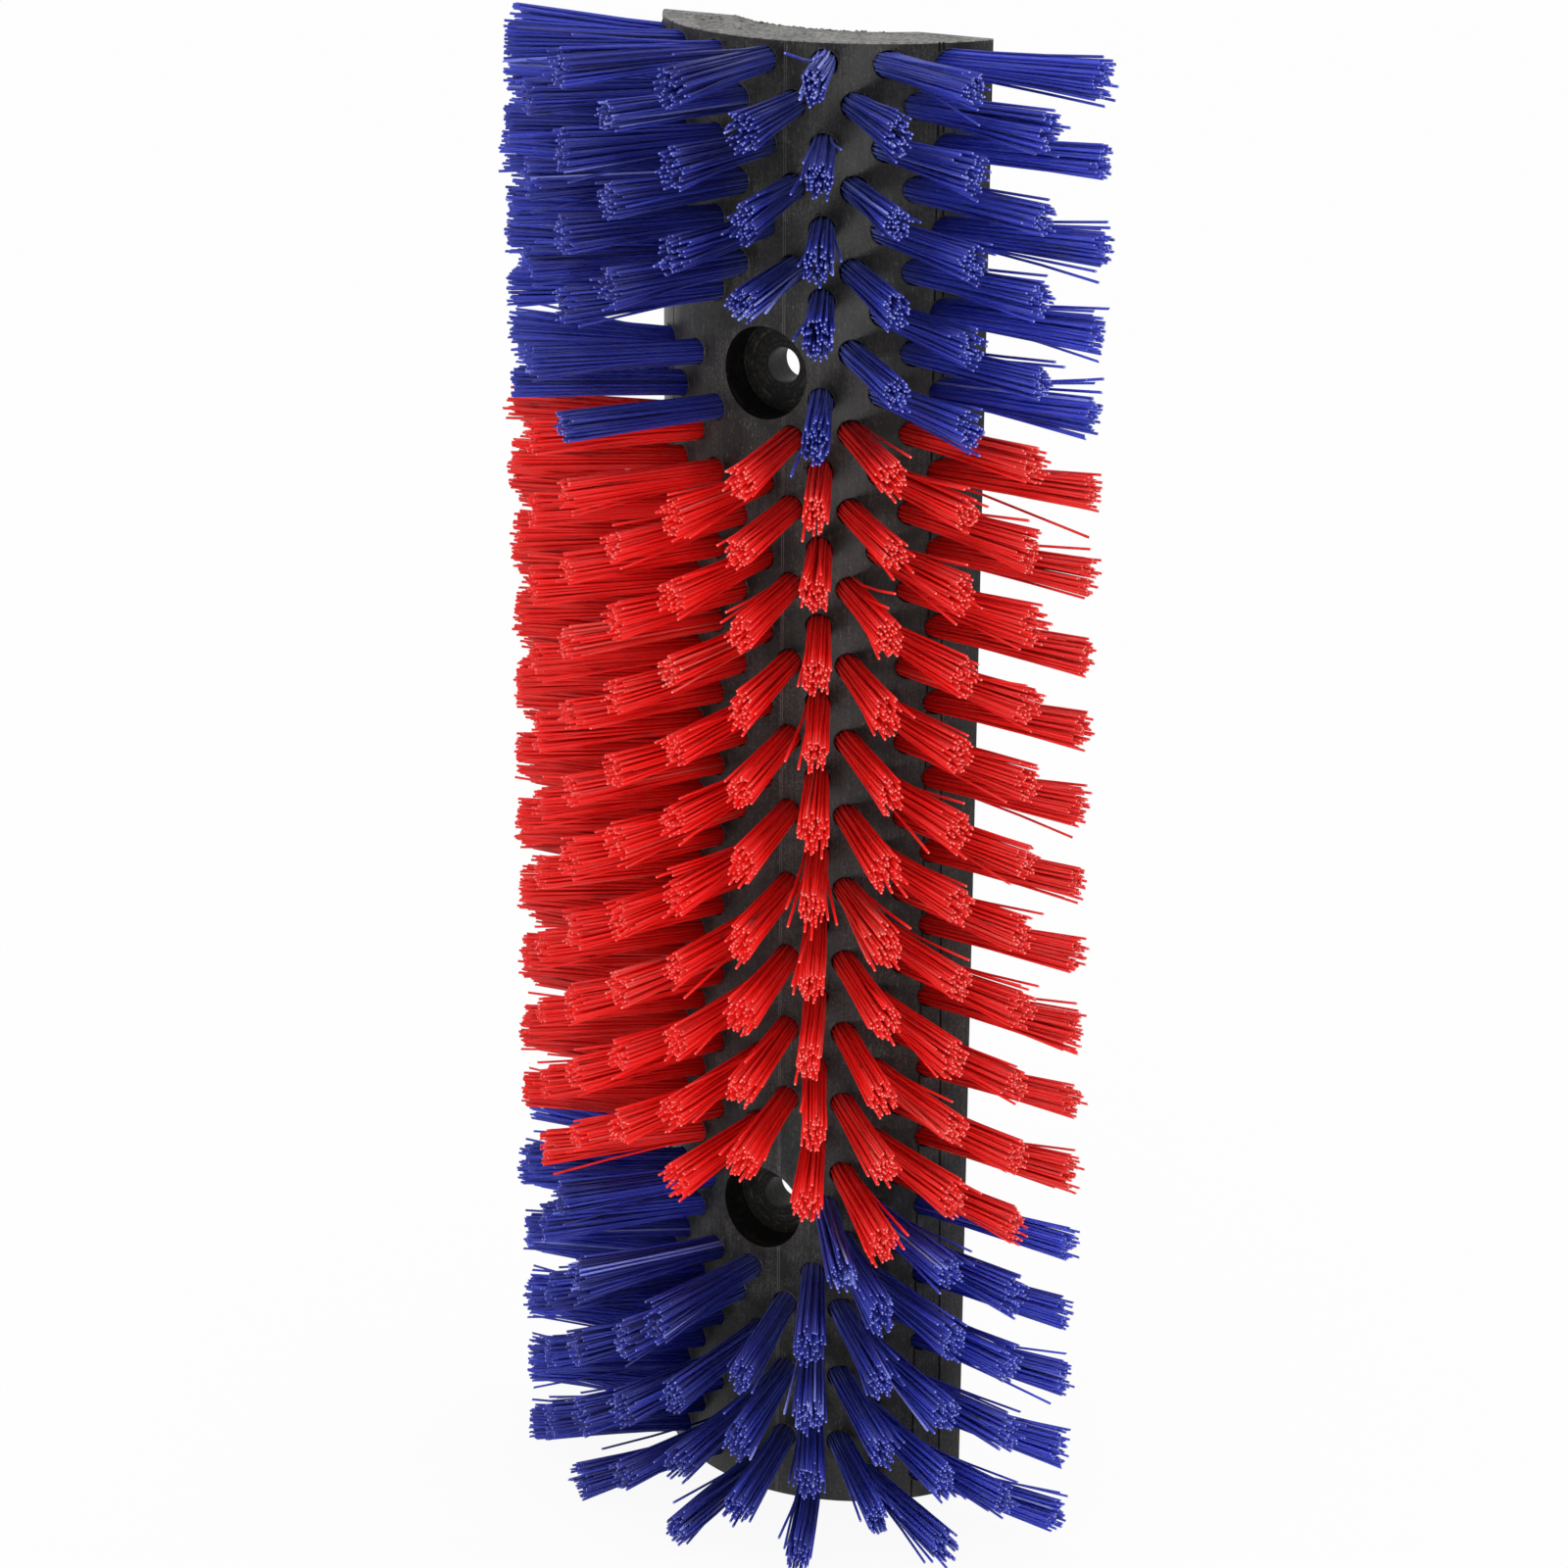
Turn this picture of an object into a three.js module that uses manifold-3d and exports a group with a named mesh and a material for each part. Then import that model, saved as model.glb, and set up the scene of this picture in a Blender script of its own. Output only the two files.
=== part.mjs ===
// Bristled segment of a rotating brush roller: a black plastic shell, a part-cylinder with a flat back and a
// hollow channel, filled with tufts of filament that fan out. Two counterbored holes bolt it on.
// Millimetres, +Z up along the roller's axis. It stands on its lower end and its bristles face -Y.
import * as THREE from "three";
import { mergeVertices } from "three/addons/utils/BufferGeometryUtils.js";
import Module from "manifold-3d";

const wasm = await Module();
wasm.setup();

const LENGTH = 590; // along the roller

// Tuft pattern: rows run along the shell, and every second column is set half a row lower
const HALF_ROW = 15;
const COLUMN_PITCH = 11.6; // round the outside of the shell
const EDGE_LAND = 3; // least bare strip of shell beside the outermost columns
const TOP_MARGIN = 7.5; // first row to the upper end
const BOTTOM_MARGIN = 12.5; // about, from the last row to the lower end

// Shell
const OUTER_R = 79;
const ARC_SETBACK = 36; // the outside arc's centre lies this far behind the flat back
const CHANNEL_WIDTH = 78;
const CHANNEL_RISE = 15;
const EDGE_CHAMFER = 2.5;

// Bolt holes
const BOLT_SPACING = 340;
const BOLT_HOLE_D = 13.5;
const COUNTERBORE_D = 35;
const COUNTERBORE_DEPTH = 15; // below the crown of the shell

// Bristles
const TUFT_LENGTH = 63; // free length
const TUFT_TURN = 14.5; // degrees from each column's tufts to the next: they fan out more than the shell
const LEG_WIDTH = 7.2; // each tuft is a folded bundle with two legs
const LEG_THICKNESS = 3.4;
const LEG_OFFSET = 2.2; // a leg's middle to the tuft's middle
const SPREAD = 1.65; // a tuft's size at its tips, against its size at the root
const FIELD_SKIN = 3; // the layer of the shell that a bristle field is rooted in
const ROOT_SINK = 1.5; // how deep a leg runs into that layer
const CLEARANCE = 0.3;
const UPPER_BLUE_ROWS = 9; // half rows of blue at the upper end
const RED_ROWS = 21; // and of red after them
const LEFT_BLUE_DROP = 0.6; // how much lower the upper blue ends left of the bolts, as a share of a half row

// Near a bolt the pattern is broken by hand: some tufts are left out, besides those that a counterbore
// would cut, and some are drilled off their places. Each is [column, half rows below the bolt's own], and
// a shift is a share of the column pitch round the shell and a share of a half row down it
const TUFT_ROOM = 5.5; // least room from a tuft's middle to a counterbore
const UPPER_BOLT = {
  leftOut: [[0, -2], [-1, 1]],
  shifted: [[2, -2, 0, -0.23], [2, 0, 0, 0.23], [1, 1, 0, 0.23], [-2, -2, 0, -0.27], [-2, 0, 0, 0.3]],
};
const LOWER_BOLT = {
  leftOut: [[1, -1], [-1, -1]],
  shifted: [[2, 0, 0.43, 0], [0, 2, -0.34, 0.13], [-2, 0, -0.43, 0]],
};
// From the middle column to the left edge, the half rows of red and the last ones of blue above them are
// drilled a little closer to each other
const CLOSE_BLUE_ROWS = 2;
const CLOSE_ROWS_DROP = 0.49; // how much lower the first of them is, as a share of a half row
const RAISED_ROWS = 6; // the last of them, which are higher than the other columns

const COLORS = { shell: 0x1f1f20, blue: 0x1c1fa0, red: 0xd4160f };

// Worked out from the sizes above
const HALF_ROWS = Math.round((LENGTH - TOP_MARGIN - BOTTOM_MARGIN) / HALF_ROW) + 1;
const SHELL_EDGE = Math.acos(ARC_SETBACK / OUTER_R);
const COLUMN_ROOM = SHELL_EDGE * OUTER_R - EDGE_CHAMFER - EDGE_LAND;
const COLUMNS_EACH_SIDE = Math.floor(COLUMN_ROOM / COLUMN_PITCH - 0.5); // of the middle column
const COLUMN_STEP = COLUMN_PITCH / OUTER_R;
const FIELD_EDGE = (COLUMNS_EACH_SIDE + 0.5) * COLUMN_STEP;
const HALF_WIDTH = Math.sqrt(OUTER_R ** 2 - ARC_SETBACK ** 2);
const CROWN_Y = ARC_SETBACK - OUTER_R;
const rowZ = (row) => LENGTH - TOP_MARGIN - row * HALF_ROW;
const PATTERN_MIDDLE_Z = rowZ((HALF_ROWS - 1) / 2);
const boltAt = (z, breaks) => ({ z, row: Math.round((rowZ(0) - z) / HALF_ROW), ...breaks });
const BOLTS = [
  boltAt(PATTERN_MIDDLE_Z + BOLT_SPACING / 2, UPPER_BOLT),
  boltAt(PATTERN_MIDDLE_Z - BOLT_SPACING / 2, LOWER_BOLT),
];

// A point of the section at a radius about the outside arc's centre, at an angle from the crown towards +X
function onArc(radius, angle) {
  return new THREE.Vector2(radius * Math.sin(angle), ARC_SETBACK - radius * Math.cos(angle));
}

function arc(radius, from, to, steps) {
  return Array.from({ length: steps + 1 }, (_, i) => onArc(radius, from + ((to - from) * i) / steps));
}

function solidOf(geometry) {
  const bare = geometry.clone();
  for (const name of Object.keys(bare.attributes)) {
    if (name !== "position") bare.deleteAttribute(name);
  }
  const merged = mergeVertices(bare, 1e-4);
  return new wasm.Manifold(
    new wasm.Mesh({
      numProp: 3,
      vertProperties: merged.attributes.position.array,
      triVerts: new Uint32Array(merged.index.array),
    }),
  );
}

function geometryOf(solid) {
  const mesh = solid.getMesh();
  const geometry = new THREE.BufferGeometry();
  geometry.setAttribute("position", new THREE.BufferAttribute(mesh.vertProperties, 3));
  geometry.setIndex(new THREE.BufferAttribute(mesh.triVerts, 1));
  geometry.computeVertexNormals();
  return geometry;
}

// A prism of a section that stands between two heights
function prism(points, low, high) {
  const geometry = new THREE.ExtrudeGeometry(new THREE.Shape(points), {
    depth: high - low,
    bevelEnabled: false,
  });
  return solidOf(geometry.translate(0, 0, low));
}

// A cutter along the bolt's axis, from y to y
function boltCutter(diameter, fromY, toY, z, sides) {
  const geometry = new THREE.CylinderGeometry(diameter / 2, diameter / 2, Math.abs(toY - fromY), sides);
  return solidOf(geometry.translate(0, (fromY + toY) / 2, z));
}

function counterbores() {
  const beyond = 10;
  const floorY = CROWN_Y + COUNTERBORE_DEPTH;
  return BOLTS.map(({ z }) => boltCutter(COUNTERBORE_D, CROWN_Y - beyond, floorY, z, 48));
}

function boltHoles() {
  const beyond = 10;
  return BOLTS.map(({ z }) => boltCutter(BOLT_HOLE_D, CROWN_Y, beyond, z, 32));
}

// The shell: an extruded section with the recess that the bristle fields are rooted in
function shell() {
  const recessR = OUTER_R - FIELD_SKIN - CLEARANCE;
  const recessEdge = FIELD_EDGE + CLEARANCE / OUTER_R;
  const chamferEdge = SHELL_EDGE - EDGE_CHAMFER / OUTER_R;
  const channelR = (CHANNEL_WIDTH ** 2 / 4 + CHANNEL_RISE ** 2) / (2 * CHANNEL_RISE);
  const channelAngle = Math.asin(CHANNEL_WIDTH / 2 / channelR);
  const channelSteps = 14;
  const channel = Array.from({ length: channelSteps + 1 }, (_, i) => {
    const angle = channelAngle * (1 - (2 * i) / channelSteps);
    const drop = channelR * (Math.cos(angle) - Math.cos(channelAngle));
    return new THREE.Vector2(channelR * Math.sin(angle), -drop);
  });
  const section = [
    new THREE.Vector2(-HALF_WIDTH + EDGE_CHAMFER, 0),
    ...arc(OUTER_R, -chamferEdge, -recessEdge, 3),
    onArc(recessR, -recessEdge),
    ...arc(recessR, -FIELD_EDGE, FIELD_EDGE, 2 * COLUMNS_EACH_SIDE + 1),
    onArc(recessR, recessEdge),
    ...arc(OUTER_R, recessEdge, chamferEdge, 3),
    new THREE.Vector2(HALF_WIDTH - EDGE_CHAMFER, 0),
    ...channel,
  ];
  return wasm.Manifold.difference([prism(section, 0, LENGTH), ...counterbores(), ...boltHoles()]);
}

// One leg of a tuft: a tapered bar whose root is cut along the skin's facet, and whose tip is trimmed square
function leg(angle, z, side) {
  const facetR = OUTER_R * Math.cos(COLUMN_STEP / 2);
  const at = onArc(facetR, angle);
  const turn = THREE.MathUtils.degToRad(TUFT_TURN) * (angle / COLUMN_STEP);
  const out = new THREE.Vector3(Math.sin(turn), -Math.cos(turn), 0);
  const up = new THREE.Vector3(0, 0, 1);
  const across = new THREE.Vector3().crossVectors(up, out);
  const normal = new THREE.Vector3(Math.sin(angle), -Math.cos(angle), 0);
  const root = new THREE.Vector3(at.x, at.y, z);
  const tip = root.clone().addScaledVector(out, TUFT_LENGTH);
  const corner = (middle, size, a, b) =>
    middle
      .clone()
      .addScaledVector(across, (a * size * LEG_WIDTH) / 2)
      .addScaledVector(up, size * (side * LEG_OFFSET + (b * LEG_THICKNESS) / 2));
  const corners = [[-1, -1], [1, -1], [1, 1], [-1, 1]];
  const tips = corners.map(([a, b]) => corner(tip, SPREAD, a, b));
  const roots = corners.map(([a, b], i) => {
    const start = corner(root, 1, a, b);
    const run = tips[i].clone().sub(start);
    const height = start.clone().sub(root).dot(normal);
    return start.addScaledVector(run, -(ROOT_SINK + height) / run.dot(normal));
  });
  const faces = [0, 2, 1, 0, 3, 2, 4, 5, 6, 4, 6, 7];
  for (let i = 0; i < 4; i++) {
    const next = (i + 1) % 4;
    faces.push(i, next, next + 4, i, next + 4, i + 4);
  }
  const geometry = new THREE.BufferGeometry().setFromPoints([...roots, ...tips]);
  geometry.setIndex(faces);
  return solidOf(geometry);
}

function closeRowDrop(column, row) {
  const first = UPPER_BLUE_ROWS - CLOSE_BLUE_ROWS;
  const last = UPPER_BLUE_ROWS + RED_ROWS - 1;
  if (column > 0 || row < first || row > last) return 0;
  const level = last - RAISED_ROWS;
  return (CLOSE_ROWS_DROP * HALF_ROW * (level - row)) / (level - first);
}

// Where a tuft is drilled, or null where there is none
function tuftPlace(column, row) {
  if ((row + column) % 2 !== 0) return null;
  let angle = column * COLUMN_STEP;
  let z = rowZ(row) - closeRowDrop(column, row);
  for (const bolt of BOLTS) {
    const here = ([c, r]) => c === column && r === row - bolt.row;
    if (bolt.leftOut.some(here)) return null;
    const [, , around, down] = bolt.shifted.find(here) ?? [0, 0, 0, 0];
    angle += around * COLUMN_STEP;
    z -= down * HALF_ROW;
    const away = Math.hypot(OUTER_R * Math.sin(angle), z - bolt.z);
    if (away < COUNTERBORE_D / 2 + TUFT_ROOM) return null;
  }
  return { angle, z };
}

function tufts(firstRow, lastRow) {
  const legs = [];
  for (let row = firstRow; row <= lastRow; row++) {
    for (let column = -COLUMNS_EACH_SIDE; column <= COLUMNS_EACH_SIDE; column++) {
      const place = tuftPlace(column, row);
      if (place) legs.push(leg(place.angle, place.z, 1), leg(place.angle, place.z, -1));
    }
  }
  return legs;
}

// A stretch of the shell's outer layer, a facet for each column
function skin(from, to, low, high) {
  const facets = Math.max(1, Math.round((to - from) / COLUMN_STEP));
  const inner = arc(OUTER_R - FIELD_SKIN, to, from, facets);
  return prism([...arc(OUTER_R, from, to, facets), ...inner], low, high);
}

// The height of a field's end before a half row: on the left and on the right of the bolts' column
function fieldEnds(row) {
  if (row === 0) return [LENGTH, LENGTH];
  if (row === HALF_ROWS) return [0, 0];
  const z = rowZ(row - 0.5);
  return [row === UPPER_BLUE_ROWS ? z - LEFT_BLUE_DROP * HALF_ROW : z, z];
}

// A bristle field: tufts fused to the slice of the shell's outer layer that holds them
function field(firstRow, lastRow) {
  const [highLeft, highRight] = fieldEnds(firstRow).map((z) => (firstRow === 0 ? z : z - CLEARANCE / 2));
  const [lowLeft, lowRight] = fieldEnds(lastRow + 1).map((z) => (z === 0 ? z : z + CLEARANCE / 2));
  const step = 0.5 * COLUMN_STEP;
  const gap = CLEARANCE / 2 / OUTER_R;
  const slices = [
    skin(-FIELD_EDGE, step - gap, lowLeft, highLeft),
    skin(step - gap, step + gap, Math.max(lowLeft, lowRight), Math.min(highLeft, highRight)),
    skin(step + gap, FIELD_EDGE, lowRight, highRight),
  ];
  const whole = wasm.Manifold.difference([wasm.Manifold.union(slices), ...counterbores()]);
  return wasm.Manifold.union([whole, ...tufts(firstRow, lastRow)]);
}

function piece(name, solid, color, roughness) {
  const material = new THREE.MeshStandardMaterial({ color, roughness, metalness: 0 });
  const mesh = new THREE.Mesh(geometryOf(solid), material);
  mesh.name = name;
  return mesh;
}

const lastUpperBlue = UPPER_BLUE_ROWS - 1;
const lastRed = lastUpperBlue + RED_ROWS;
const middleRed = Math.round((lastUpperBlue + lastRed) / 2);

const brush = new THREE.Group();
brush.add(
  piece("brush_shell", shell(), COLORS.shell, 0.6),
  piece("blue_tufts_upper", field(0, lastUpperBlue), COLORS.blue, 0.4),
  piece("red_tufts_upper", field(lastUpperBlue + 1, middleRed), COLORS.red, 0.4),
  piece("red_tufts_lower", field(middleRed + 1, lastRed), COLORS.red, 0.4),
  piece("blue_tufts_lower", field(lastRed + 1, HALF_ROWS - 1), COLORS.blue, 0.4),
);

// The origin is under the middle of the segment's box
const box = new THREE.Box3().setFromObject(brush);
brush.position.y = -(box.min.y + box.max.y) / 2;

const segment = new THREE.Group();
segment.add(brush);

export default segment;
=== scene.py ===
"""Bristled segment of a rotating brush roller, standing on its lower end with the bristles towards -Y.

A black polyethylene shell, sawn off at its ends and drilled all over, holds tufts of polypropylene filament:
blue at both ends and red between. Two counterbored holes bolt it on.
"""

import math

import bpy
import numpy as np
from mathutils import Matrix, Vector


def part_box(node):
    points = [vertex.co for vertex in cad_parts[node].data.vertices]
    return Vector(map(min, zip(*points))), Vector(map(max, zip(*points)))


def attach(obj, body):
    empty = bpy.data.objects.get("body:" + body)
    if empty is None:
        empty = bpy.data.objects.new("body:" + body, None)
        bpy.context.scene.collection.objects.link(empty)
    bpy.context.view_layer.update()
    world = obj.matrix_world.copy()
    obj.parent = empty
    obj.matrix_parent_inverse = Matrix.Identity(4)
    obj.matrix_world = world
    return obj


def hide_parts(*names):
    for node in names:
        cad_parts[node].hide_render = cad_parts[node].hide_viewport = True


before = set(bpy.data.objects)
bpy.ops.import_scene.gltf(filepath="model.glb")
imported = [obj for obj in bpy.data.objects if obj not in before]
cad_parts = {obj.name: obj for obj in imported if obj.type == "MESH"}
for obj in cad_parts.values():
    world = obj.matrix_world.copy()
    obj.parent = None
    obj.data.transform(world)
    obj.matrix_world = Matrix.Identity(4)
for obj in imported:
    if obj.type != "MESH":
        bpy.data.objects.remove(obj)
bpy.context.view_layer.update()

MM = 0.001

# Shell, in millimetres
OUTER_R = 79
ARC_SETBACK = 36  # the outside arc's centre lies this far behind the flat back
HALF_WIDTH = math.sqrt(OUTER_R**2 - ARC_SETBACK**2)
CHANNEL_WIDTH = 78
CHANNEL_RISE = 15
EDGE_CHAMFER = 2.5  # along both sides of the back
END_CHAMFER = 0.4
BOLT_SPACING = 340
BOLT_HOLE_D = 13.5
COUNTERBORE_D = 35
COUNTERBORE_DEPTH = 15  # from the crown
BORE_STEP_R = 13.6  # a line scored round each bolt where its cutter stopped
GROOVES = [(-54.8, -54.8), (-40, -40), (46.9, 46.9), (55.7, 48)]  # degrees from the crown, below and above
GROOVE_WIDTH = 0.9
SCRIBED_LINES = [8.1, 8.9]  # round the outside from the crown
SCRIBED_WIDTH = 0.32
BURR = 0.3  # height of the rims that the drill left round the tuft holes

# The shell's finishes, in the order of its material slots. The grooves have that of the tuft holes' walls.
TURNED, SAWN, BORED_PAINTED_SHADE, BOLT_WALL, EXTRUDED, TUFT_WALL = range(6)

# Tuft pattern, as the shell is drilled: half rows down from the upper end, and columns round from the crown
HALF_ROW = 15
HALF_ROWS = 39
TOP_MARGIN = 7.5  # from the upper end to the first half row
COLUMN_PITCH = 11.6  # round the outside
COLUMNS_EACH_SIDE = 6
COLUMN_STEP = COLUMN_PITCH / OUTER_R  # in radians
UPPER_BLUE_ROWS = 9
RED_ROWS = 21
TUFT_ROOM = 5.5  # least room from a tuft's middle to a counterbore
TUFT_HOLE_D = 10.4
TUFT_HOLE_DEPTH = 13
# At the crown and left of it, the last blue half rows and the red ones are drilled closer to each other
CLOSE_BLUE_ROWS = 2
CLOSE_ROWS_DROP = 0.49  # of a half row, how much lower the first of them is
RAISED_ROWS = 6  # the lowest of them, which are higher instead
# Near a bolt, as [column, half rows below the bolt's own]: tufts left out, and tufts drilled off their places
# by a share of the column pitch and a share of a half row
UPPER_BOLT = {
    "left_out": [(0, -2), (-1, 1)],
    "shifted": {
        (2, -2): (0, -0.23),
        (2, 0): (0, 0.23),
        (1, 1): (0, 0.23),
        (-2, -2): (0, -0.27),
        (-2, 0): (0, 0.3),
    },
}
LOWER_BOLT = {
    "left_out": [(1, -1), (-1, -1)],
    "shifted": {(2, 0): (0.43, 0), (0, 2): (-0.34, 0.13), (-2, 0): (-0.43, 0)},
}

# Tufts, in millimetres, each by its column and half row
TUFT_LENGTH = 63
TUFT_TURN = 14.5  # degrees from each column's tufts to the next
PACKED_R = 4.4  # from a tuft's middle to its outermost strands' middles, in its hole
TIP_ACROSS = 4.9  # and at its tips, across
TIP_UP = 6.3  # and up
LOWER_BLUE_SPREAD = 1.1  # how much wider the lower blue tufts fan out than the others
SHREDDED = [(5, 1), (5, 1), (5, 13), (6, 14), (-6, 12), (-5, 11)]  # tufts with swarf at their holes
LEANING = {(2, 0): (-4.5, 1.0), (2, 38): (-3, 0)}  # tufts pushed over: across and up, at their tips
LOOSE = {(2, 0): (-12, 13)}  # worn tufts with one strand that sticks out, and where to
LOOSE_WORN = 0.4  # share of a loose tuft's strands that have worn pale
TUFT_LEAN = 0.6  # how far tufts differ in where they point, as a standard deviation
TUFT_FAN = (0.86, 1.3)  # least and most that a tuft fans out, as a share
TUFT_REACH = 0.4  # how far tufts differ in length, as a standard deviation
WORN_SHARES = [0.01, 0.02, 0.2]  # share of a tuft's strands that have worn pale,
WORN_ODDS = [0.5, 0.42, 0.08]  # and share of the tufts that are so worn

# Strands, in millimetres. What differs from strand to strand is given as a standard deviation.
STRANDS = 60  # in a tuft
STRAND_R = 0.53
STRAND_SIDES = 6
STRAND_RINGS = 4
STRAND_IN_HOLE = 8
TIP_STRAY = 0.55
SPLAY = 1.2  # power of a strand's way out from its place in the hole to that of its tip. 1 is straight.
CUT_STRAY = 1.6  # of the length,
CUT_LIMITS = (-4.5, 2)  # within these
CUT_SLOPE = 0.25
BOW = 0.25
SHORT_SHARE = 0.03  # of the strands are broken off,
SHORTER_BY = (2, 8)  # by these,
APART_SHARE = 0.08  # and this share stands away from its tuft,
APART_BY = (1.5, 5)  # by these

# Tint of a strand. The tufts at the flanks are painted paler, as painted light that comes through them from
# the side, and those at the crown darker, as painted shade.
CROWN_PAINTED_SHADE = 0.12
FLANK_PAINTED_LIGHT = 0.62
PAINTED_LIGHT_RISE = 1.4  # power of the rise from the one to the other
TINT_STRAY = 0.13
FRESH_TINT = 0.8  # most that a strand has before it is worn
WORN_TINT = 1.0

# Places, in metres
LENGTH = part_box("brush_shell")[1].z
BACK_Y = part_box("brush_shell")[1].y
ARC_Y = BACK_Y + ARC_SETBACK * MM
CROWN_Y = ARC_Y - OUTER_R * MM
SEAT_Y = CROWN_Y + COUNTERBORE_DEPTH * MM
CHANNEL_R = (CHANNEL_WIDTH**2 / 4 + CHANNEL_RISE**2) / (2 * CHANNEL_RISE)
CHANNEL_Y = BACK_Y + (CHANNEL_R - CHANNEL_RISE) * MM
MIDDLE_Z = LENGTH - (TOP_MARGIN + (HALF_ROWS - 1) / 2 * HALF_ROW) * MM
BOLT_Z = [MIDDLE_Z + BOLT_SPACING / 2 * MM, MIDDLE_Z - BOLT_SPACING / 2 * MM]


# ---------------------------------------------------------------- materials


def paint(code):
    """A colour as sRGB hex, turned to the linear values that sockets take."""
    parts = [int(code[i : i + 2], 16) / 255 for i in (1, 3, 5)]
    linear = [p / 12.92 if p <= 0.04045 else ((p + 0.055) / 1.055) ** 2.4 for p in parts]
    return (*linear, 1.0)


def add(tree, kind, inputs=None, stops=(), **settings):
    """Adds a node with its settings. Its inputs are numbers, colours or the outputs of other nodes, and the
    stops of a colour ramp are pairs of a place and a colour."""
    made = tree.nodes.new("ShaderNode" + kind)
    for name, value in settings.items():
        setattr(made, name, value)
    for socket, value in (inputs or {}).items():
        if isinstance(value, bpy.types.NodeSocket):
            tree.links.new(value, made.inputs[socket])
        else:
            made.inputs[socket].default_value = value
    for i, (position, code) in enumerate(stops):
        elements = made.color_ramp.elements
        stop = elements[i] if i < len(elements) else elements.new(position)
        stop.position = position
        stop.color = paint(code)
    return made


def new_material(name, **shader):
    """A material with a Principled shader that has these constants on its own sockets."""
    made = bpy.data.materials.new(name)
    made.use_nodes = True
    tree = made.node_tree
    tree.nodes.clear()
    surface = add(tree, "BsdfPrincipled", {k.replace("_", " "): v for k, v in shader.items()})
    add(tree, "OutputMaterial", {"Surface": surface.outputs[0]})
    return made, tree, surface


def turned_polyethylene():
    """Black polyethylene, turned: satin, mottled where the cut has whitened it, with long tool lines and two
    lines scribed beside the crown. Its grain breaks up the shine, and pale dust has caught on it."""
    made, tree, surface = new_material("turned_polyethylene", IOR=1.54, Specular_IOR_Level=0.3)
    place = add(tree, "TexCoord").outputs["Object"]
    split = add(tree, "SeparateXYZ", {0: place})
    depth = add(tree, "Math", {0: ARC_Y, 1: split.outputs[1]}, operation="SUBTRACT")
    angle = add(tree, "Math", {0: split.outputs[0], 1: depth.outputs[0]}, operation="ARCTAN2")
    around = add(tree, "Math", {0: angle.outputs[0], 1: OUTER_R * MM}, operation="MULTIPLY")
    unrolled = add(tree, "CombineXYZ", {0: around.outputs[0], 2: split.outputs[2]})
    # Real tool lines and grain are about 0.3 mm wide. They are drawn three times coarser, so that they show.
    along = add(tree, "Mapping", {"Vector": unrolled.outputs[0], "Scale": (1, 1, 0.012)})
    lines = add(tree, "TexNoise", {"Vector": along.outputs[0], "Scale": 1 / (0.9 * MM), "Detail": 3.0})
    grain = add(
        tree, "TexNoise", {"Vector": place, "Scale": 1 / (0.9 * MM), "Detail": 3.0, "Roughness": 0.65}
    )
    clouds = add(
        tree, "TexNoise", {"Vector": place, "Scale": 1 / (16 * MM), "Detail": 5.0, "Roughness": 0.62}
    )
    whitening = [(0.38, "#050504"), (0.64, "#2a2827")]
    shade = add(tree, "ValToRGB", {"Fac": clouds.outputs["Fac"]}, stops=whitening)
    line = add(
        tree,
        "MapRange",
        {"Value": lines.outputs["Fac"], "From Min": 0.3, "From Max": 0.7, "To Min": 0.5, "To Max": 1.6},
    )
    spot = add(
        tree,
        "MapRange",
        {"Value": grain.outputs["Fac"], "From Min": 0.38, "From Max": 0.64, "To Min": 0.4, "To Max": 2.3},
    )
    both = add(tree, "Math", {0: line.outputs[0], 1: spot.outputs[0]}, operation="MULTIPLY")
    worn = add(tree, "VectorMath", {0: shade.outputs[0], 1: both.outputs[0]}, operation="MULTIPLY").outputs[0]
    for scribed in SCRIBED_LINES:
        near = add(
            tree,
            "Math",
            {0: around.outputs[0], 1: scribed * MM, 2: SCRIBED_WIDTH / 2 * MM},
            operation="COMPARE",
        )
        faint = add(tree, "Math", {0: near.outputs[0], 1: 0.3}, operation="MULTIPLY")
        marked = add(tree, "Mix", {0: faint.outputs[0], 6: worn, 7: paint("#7c7c76")}, data_type="RGBA")
        worn = marked.outputs[2]
    # The dust is drawn out along the shell
    drawn = add(tree, "Mapping", {"Vector": place, "Scale": (1, 1, 0.35)})
    specks = add(
        tree,
        "TexNoise",
        {"Vector": drawn.outputs[0], "Scale": 1 / (1.0 * MM), "Detail": 6.0, "Roughness": 0.8},
    )
    speck = add(
        tree,
        "MapRange",
        {"Value": specks.outputs["Fac"], "From Min": 0.57, "From Max": 0.68, "To Min": 0.0, "To Max": 0.42},
    )
    dusty = add(tree, "Mix", {0: speck.outputs[0], 6: worn, 7: paint("#7f7e7a")}, data_type="RGBA")
    tree.links.new(dusty.outputs[2], surface.inputs["Base Color"])
    dull = add(
        tree,
        "MapRange",
        {"Value": clouds.outputs["Fac"], "From Min": 0.3, "From Max": 0.7, "To Min": 0.38, "To Max": 0.54},
    )
    tree.links.new(dull.outputs[0], surface.inputs["Roughness"])
    height = add(tree, "Math", {0: lines.outputs["Fac"], 1: grain.outputs["Fac"]}, operation="ADD")
    bump = add(tree, "Bump", {"Height": height.outputs[0], "Strength": 0.5, "Distance": 0.12 * MM})
    tree.links.new(bump.outputs[0], surface.inputs["Normal"])
    return made


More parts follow.
